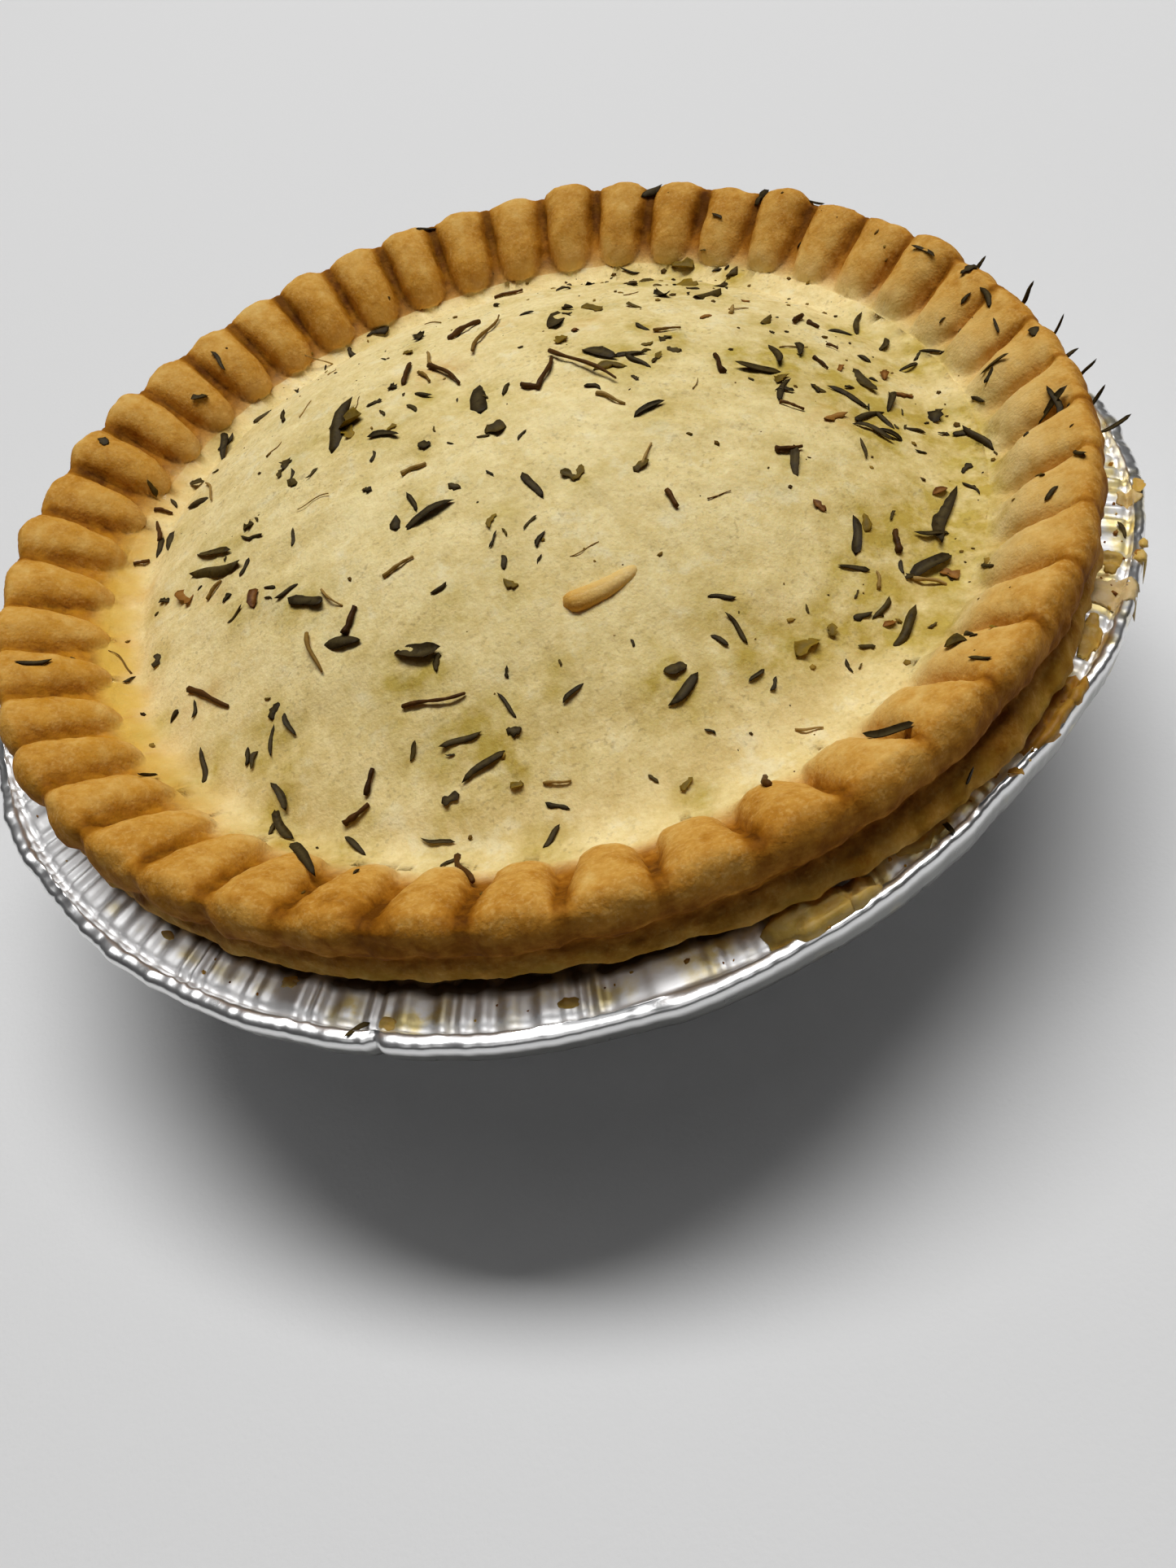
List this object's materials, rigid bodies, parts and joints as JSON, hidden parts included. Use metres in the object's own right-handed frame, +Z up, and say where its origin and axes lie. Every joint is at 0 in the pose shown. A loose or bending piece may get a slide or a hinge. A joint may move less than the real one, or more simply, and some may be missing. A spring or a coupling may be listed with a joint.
{
  "type": "chicken and ham pie",
  "caption": "Round single-serve savoury pie with a crimped pastry edge and a domed lid strewn with dried thyme, baked in a sloping foil tray with a pleated flange and rolled rim.",
  "frame": {"origin": "middle of the foil tray's flat base, on the surface that the pie stands on", "axes": "+Z up through the middle of the lid, -Y towards the viewer of the picture, +X to the viewer's right"},
  "size_m": [0.127, 0.1266, 0.0461],
  "materials": {
    "pastry": "baked shortcrust pastry, matte, golden on the crimp and pale on the lid",
    "foil": "bright pressed foil with fine pleats"
  },
  "bodies": {
    "root": {"pie": "pastry", "foil_tray": "foil"}
  },
  "joints": []
}
